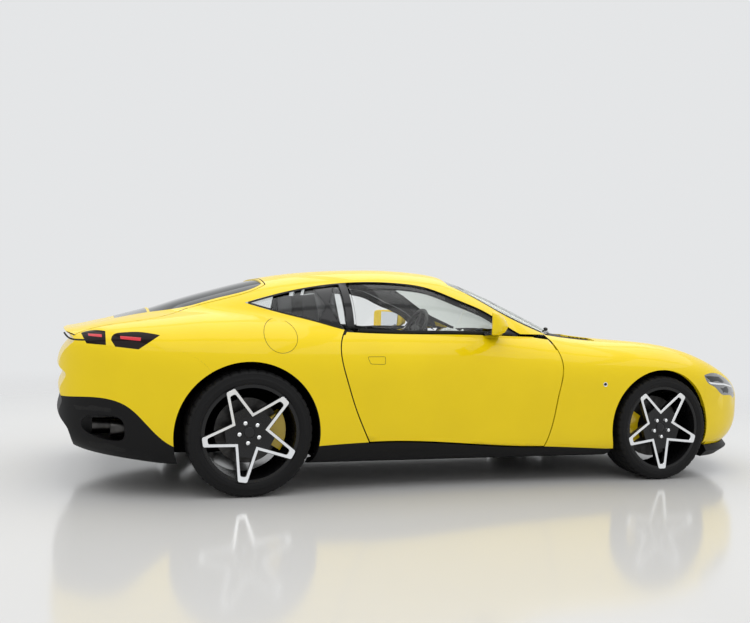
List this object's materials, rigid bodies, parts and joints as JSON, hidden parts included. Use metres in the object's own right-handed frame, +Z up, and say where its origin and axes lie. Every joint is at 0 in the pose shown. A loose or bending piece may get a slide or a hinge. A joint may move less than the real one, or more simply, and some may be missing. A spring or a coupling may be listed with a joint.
{
  "type": "coupe car",
  "caption": "Low two-door fastback coupe with long bonnet, wide rear haunches, star-spoke wheels, hinged doors, bonnet and tailgate, steering and rolling wheels.",
  "frame": {"origin": "on the ground, midway between the two ends and the two sides of the body", "axes": "+X to the nose, +Y to the left side, +Z up"},
  "size_m": [4.6482, 2.1714, 1.2997],
  "materials": {
    "paint": "gloss",
    "trim": "satin",
    "gloss_black": "gloss",
    "screen": "gloss",
    "side_glass": "gloss",
    "rear_screen": "gloss",
    "lamp": "gloss",
    "tail_lamp": "gloss",
    "tyre": "matte",
    "wheel": "gloss",
    "disc": "satin",
    "caliper": "gloss",
    "knuckle": "satin",
    "underbody": "matte",
    "engine": "satin",
    "steel": "satin",
    "seat": "matte",
    "cabin": "matte"
  },
  "bodies": {
    "body_shell": {"platform": "underbody", "engine_block": "engine", "front_suspension": "underbody", "rear_suspension": "underbody", "front_bumper": "paint", "front_splitter": "trim", "grille": "trim", "headlamps": "lamp", "front_wing_right": "paint", "front_wing_left": "paint", "cowl": "trim", "windscreen": "screen", "roof": "paint", "quarter_right": "paint", "quarter_left": "paint", "quarter_glass": "side_glass", "pillar_covers": "gloss_black", "rear_bumper": "paint", "diffuser": "trim", "exhausts": "steel", "tail_lamps": "tail_lamp", "sills": "trim", "wheel_liners": "underbody", "latch_posts": "underbody", "rear_calipers": "caliper", "seats": "seat", "dashboard": "cabin"},
    "bonnet": {"bonnet": "paint"},
    "tailgate": {"boot_lid": "paint", "rear_window": "rear_screen", "spoiler_flap": "gloss_black"},
    "door_right": {"door_right": "paint", "door_glass_right": "side_glass", "mirror_right": "paint"},
    "door_left": {"door_left": "paint", "door_glass_left": "side_glass", "mirror_left": "paint"},
    "steering": {"steering_wheel": "seat"},
    "upright_right": {"knuckle_front_right": "knuckle", "caliper_front_right": "caliper"},
    "upright_left": {"knuckle_front_left": "knuckle", "caliper_front_left": "caliper"},
    "wheel_front_right": {"tyre_front_right": "tyre", "rim_front_right": "wheel", "brake_disc_front_right": "disc"},
    "wheel_front_left": {"tyre_front_left": "tyre", "rim_front_left": "wheel", "brake_disc_front_left": "disc"},
    "wheel_rear_right": {"tyre_rear_right": "tyre", "rim_rear_right": "wheel", "brake_disc_rear_right": "disc"},
    "wheel_rear_left": {"tyre_rear_left": "tyre", "rim_rear_left": "wheel", "brake_disc_rear_left": "disc"}
  },
  "joints": [
    {"name": "door_right_hinge", "type": "hinge", "parent": "body_shell", "child": "door_right", "pos_m": [0.6363, -0.9305, 0.6], "axis": [0, 0, 1], "range_deg": [0, 65]},
    {"name": "door_left_hinge", "type": "hinge", "parent": "body_shell", "child": "door_left", "pos_m": [0.6363, 0.9305, 0.6], "axis": [0, 0, -1], "range_deg": [0, 65]},
    {"name": "bonnet_hinge", "type": "hinge", "parent": "body_shell", "child": "bonnet", "pos_m": [0.79199, 0, 0.911], "axis": [0, -1, 0], "range_deg": [0, 60]},
    {"name": "tailgate_hinge", "type": "hinge", "parent": "body_shell", "child": "tailgate", "pos_m": [-1.1531, 0, 1.2125], "axis": [0, 1, 0], "range_deg": [0, 65]},
    {"name": "steering_column", "type": "hinge", "parent": "body_shell", "child": "steering", "pos_m": [0.134, 0.385, 0.88], "axis": [-0.9135, 0, 0.4067], "range_deg": [-460, 460]},
    {"name": "steer_right", "type": "hinge", "parent": "body_shell", "child": "upright_right", "pos_m": [1.36438, -0.746, 0.333], "axis": [0, 0, 1], "range_deg": [-33, 33]},
    {"name": "steer_left", "type": "hinge", "parent": "body_shell", "child": "upright_left", "pos_m": [1.36438, 0.746, 0.333], "axis": [0, 0, 1], "range_deg": [-33, 33]},
    {"name": "wheel_front_right_spin", "type": "hinge", "parent": "upright_right", "child": "wheel_front_right", "pos_m": [1.36438, -0.826, 0.333], "axis": [0, 1, 0], "continuous": true},
    {"name": "wheel_front_left_spin", "type": "hinge", "parent": "upright_left", "child": "wheel_front_left", "pos_m": [1.36438, 0.826, 0.333], "axis": [0, 1, 0], "continuous": true},
    {"name": "wheel_rear_right_spin", "type": "hinge", "parent": "body_shell", "child": "wheel_rear_right", "pos_m": [-1.30562, -0.8395, 0.344], "axis": [0, 1, 0], "continuous": true},
    {"name": "wheel_rear_left_spin", "type": "hinge", "parent": "body_shell", "child": "wheel_rear_left", "pos_m": [-1.30562, 0.8395, 0.344], "axis": [0, 1, 0], "continuous": true}
  ],
  "couplings": [
    {"joint": "steer_right", "follows": "steering_column", "ratio": 0.0717},
    {"joint": "steer_left", "follows": "steering_column", "ratio": 0.0717}
  ]
}
